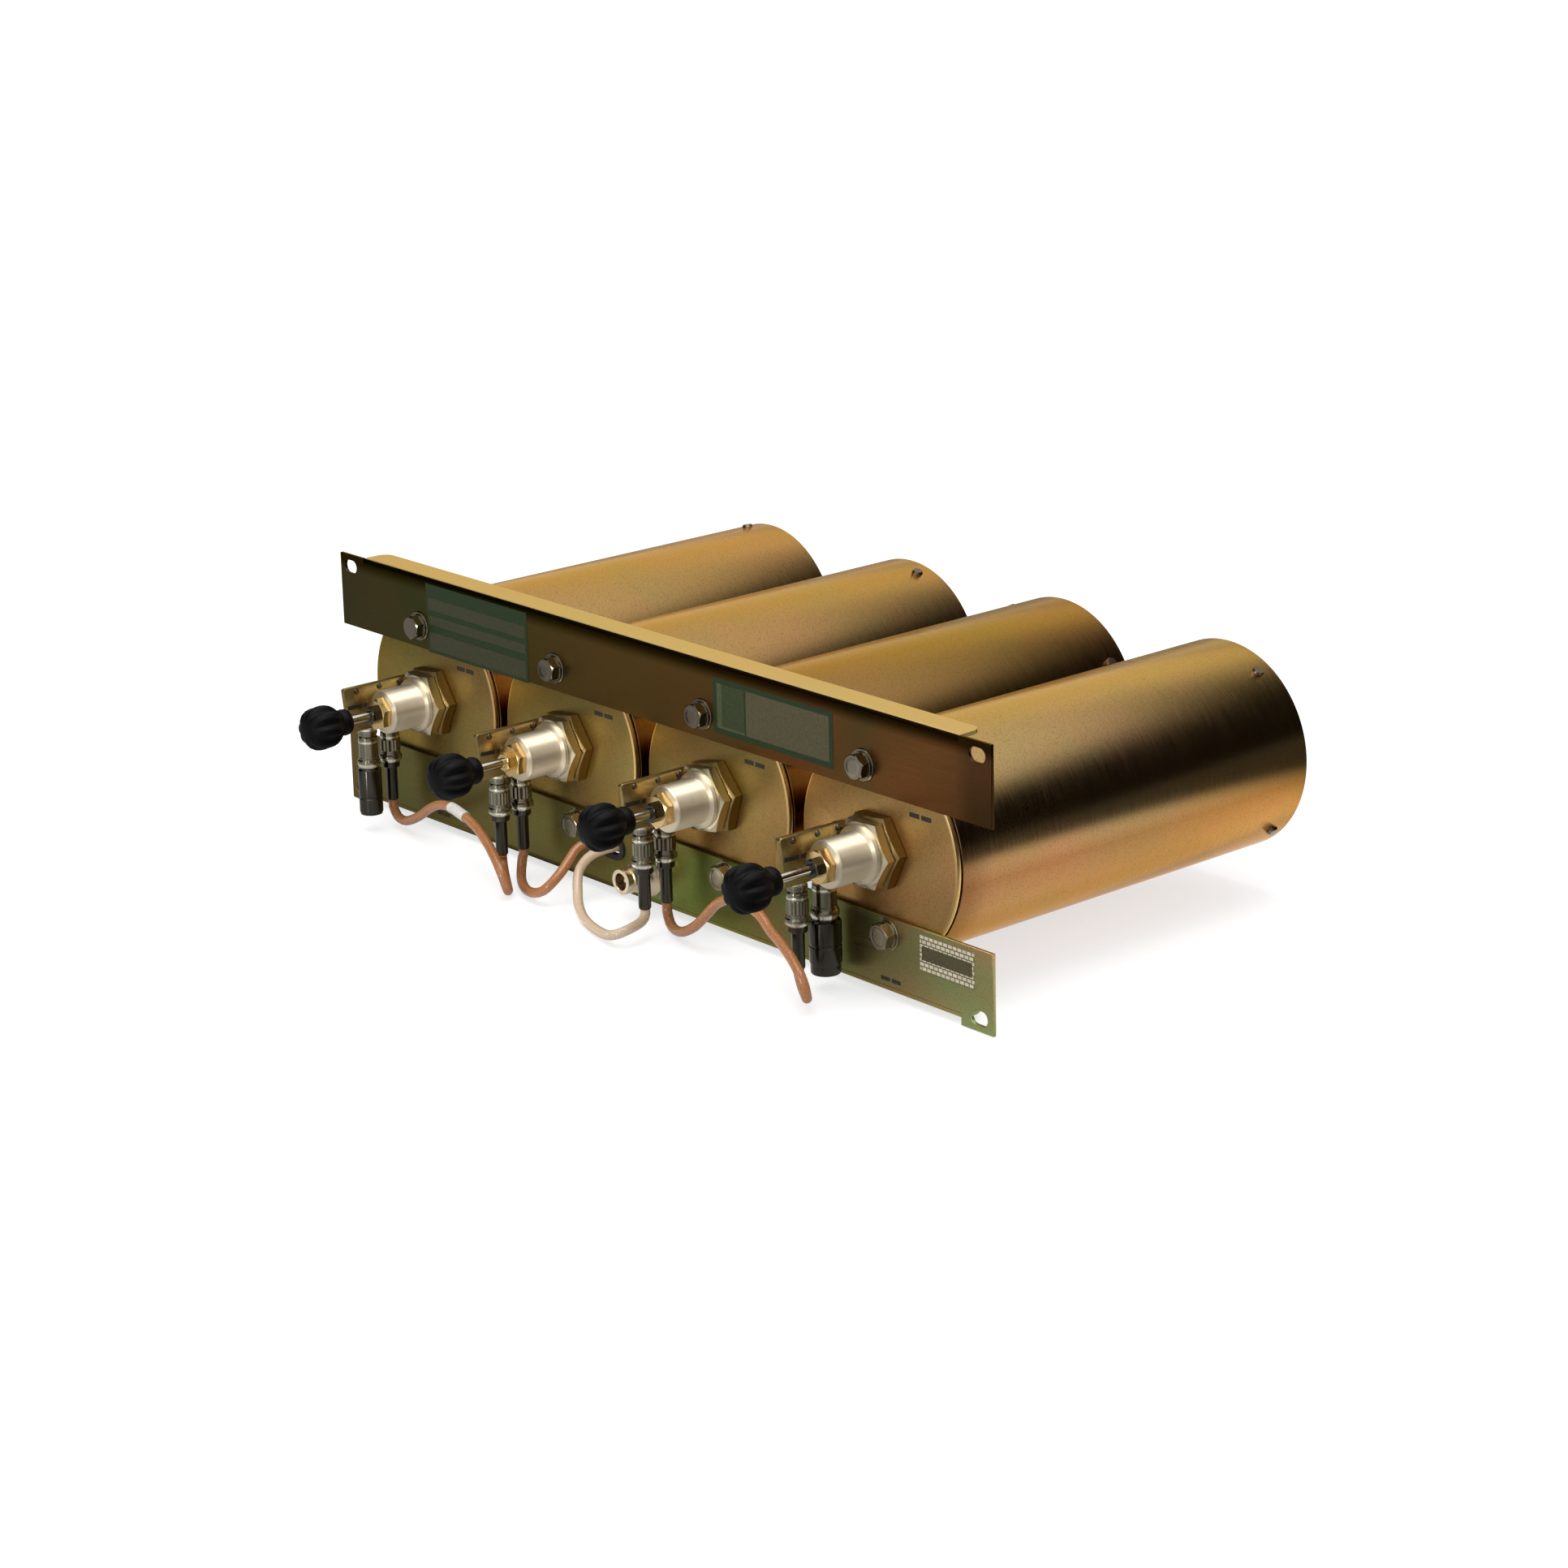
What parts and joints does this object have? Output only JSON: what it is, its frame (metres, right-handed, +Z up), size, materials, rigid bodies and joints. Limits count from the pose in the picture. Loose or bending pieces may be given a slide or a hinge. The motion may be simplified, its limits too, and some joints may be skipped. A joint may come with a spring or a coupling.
{
  "type": "radio cavity duplexer",
  "caption": "Rack-mount radio duplexer: gold resonator tubes between bent rails, with sliding tuning rods, lobed knobs and coaxial jumpers to an antenna jack.",
  "frame": {"origin": "under the middle of the bounding box, at the height of the bottom of the rack ears", "axes": "+X along the rack rails to the right seen from the front, +Y back along the resonator tubes, +Z up"},
  "size_m": [0.4826, 0.3138, 0.1326],
  "materials": {
    "rail_gold": "satin yellow chromate on steel",
    "tube_gold": "brushed, yellow chromate",
    "plate_gold": "satin, yellow chromate",
    "silvered_metal": "silvered",
    "steel_rod": "ground",
    "bright_nickel": "bright nickel plate",
    "brass": "machined",
    "black_plastic": "matte moulded",
    "cable_brown": "translucent brown jacket",
    "cable_tan": "translucent tan jacket"
  },
  "bodies": {
    "frame": {"antenna_tee": "bright_nickel", "cable_a": "cable_brown", "cable_b": "cable_brown", "cable_c": "cable_tan", "cable_d": "cable_brown", "cable_plug_1b": "bright_nickel", "cable_plug_2a": "bright_nickel", "cable_plug_2b": "bright_nickel", "cable_plug_3a": "bright_nickel", "cable_plug_3b": "bright_nickel", "cable_plug_4a": "bright_nickel", "cavity_shell_1": "tube_gold", "cavity_shell_2": "tube_gold", "cavity_shell_3": "tube_gold", "cavity_shell_4": "tube_gold", "front_plate_1": "plate_gold", "front_plate_2": "plate_gold", "front_plate_3": "plate_gold", "front_plate_4": "plate_gold", "inner_conductor_1": "silvered_metal", "inner_conductor_2": "silvered_metal", "inner_conductor_3": "silvered_metal", "inner_conductor_4": "silvered_metal", "lock_nut_1": "plate_gold", "lock_nut_2": "plate_gold", "lock_nut_3": "plate_gold", "lock_nut_4": "plate_gold", "loop_box_1": "plate_gold", "loop_box_2": "plate_gold", "loop_box_3": "plate_gold", "loop_box_4": "plate_gold", "lower_rail": "rail_gold", "port_adapter_1": "bright_nickel", "port_adapter_4": "bright_nickel", "rear_cap_1": "tube_gold", "rear_cap_2": "tube_gold", "rear_cap_3": "tube_gold", "rear_cap_4": "tube_gold", "rod_nut_1": "brass", "rod_nut_2": "brass", "rod_nut_3": "brass", "rod_nut_4": "brass", "tuner_sleeve_1": "bright_nickel", "tuner_sleeve_2": "bright_nickel", "tuner_sleeve_3": "bright_nickel", "tuner_sleeve_4": "bright_nickel", "upper_rail": "rail_gold"},
    "plunger_1_body": {"tuning_plunger_1": "silvered_metal"},
    "knob_1_body": {"tuning_rod_1": "steel_rod", "knob_1": "black_plastic"},
    "plunger_2_body": {"tuning_plunger_2": "silvered_metal"},
    "knob_2_body": {"tuning_rod_2": "steel_rod", "knob_2": "black_plastic"},
    "plunger_3_body": {"tuning_plunger_3": "silvered_metal"},
    "knob_3_body": {"tuning_rod_3": "steel_rod", "knob_3": "black_plastic"},
    "plunger_4_body": {"tuning_plunger_4": "silvered_metal"},
    "knob_4_body": {"tuning_rod_4": "steel_rod", "knob_4": "black_plastic"}
  },
  "joints": [
    {"name": "plunger_slide_1", "type": "slide", "parent": "frame", "child": "plunger_1_body", "axis": [0, 1, 0], "range_m": [-0.0145, 0.0105]},
    {"name": "knob_turn_1", "type": "hinge", "parent": "plunger_1_body", "child": "knob_1_body", "pos_m": [-0.16669, -0.13965, 0.068], "axis": [0, 1, 0], "continuous": true},
    {"name": "plunger_slide_2", "type": "slide", "parent": "frame", "child": "plunger_2_body", "axis": [0, 1, 0], "range_m": [-0.0118, 0.0132]},
    {"name": "knob_turn_2", "type": "hinge", "parent": "plunger_2_body", "child": "knob_2_body", "pos_m": [-0.05556, -0.14235, 0.068], "axis": [0, 1, 0], "continuous": true},
    {"name": "plunger_slide_3", "type": "slide", "parent": "frame", "child": "plunger_3_body", "axis": [0, 1, 0], "range_m": [-0.0151, 0.0099]},
    {"name": "knob_turn_3", "type": "hinge", "parent": "plunger_3_body", "child": "knob_3_body", "pos_m": [0.05556, -0.13905, 0.068], "axis": [0, 1, 0], "continuous": true},
    {"name": "plunger_slide_4", "type": "slide", "parent": "frame", "child": "plunger_4_body", "axis": [0, 1, 0], "range_m": [-0.0072, 0.0178]},
    {"name": "knob_turn_4", "type": "hinge", "parent": "plunger_4_body", "child": "knob_4_body", "pos_m": [0.16669, -0.14695, 0.068], "axis": [0, 1, 0], "continuous": true}
  ]
}
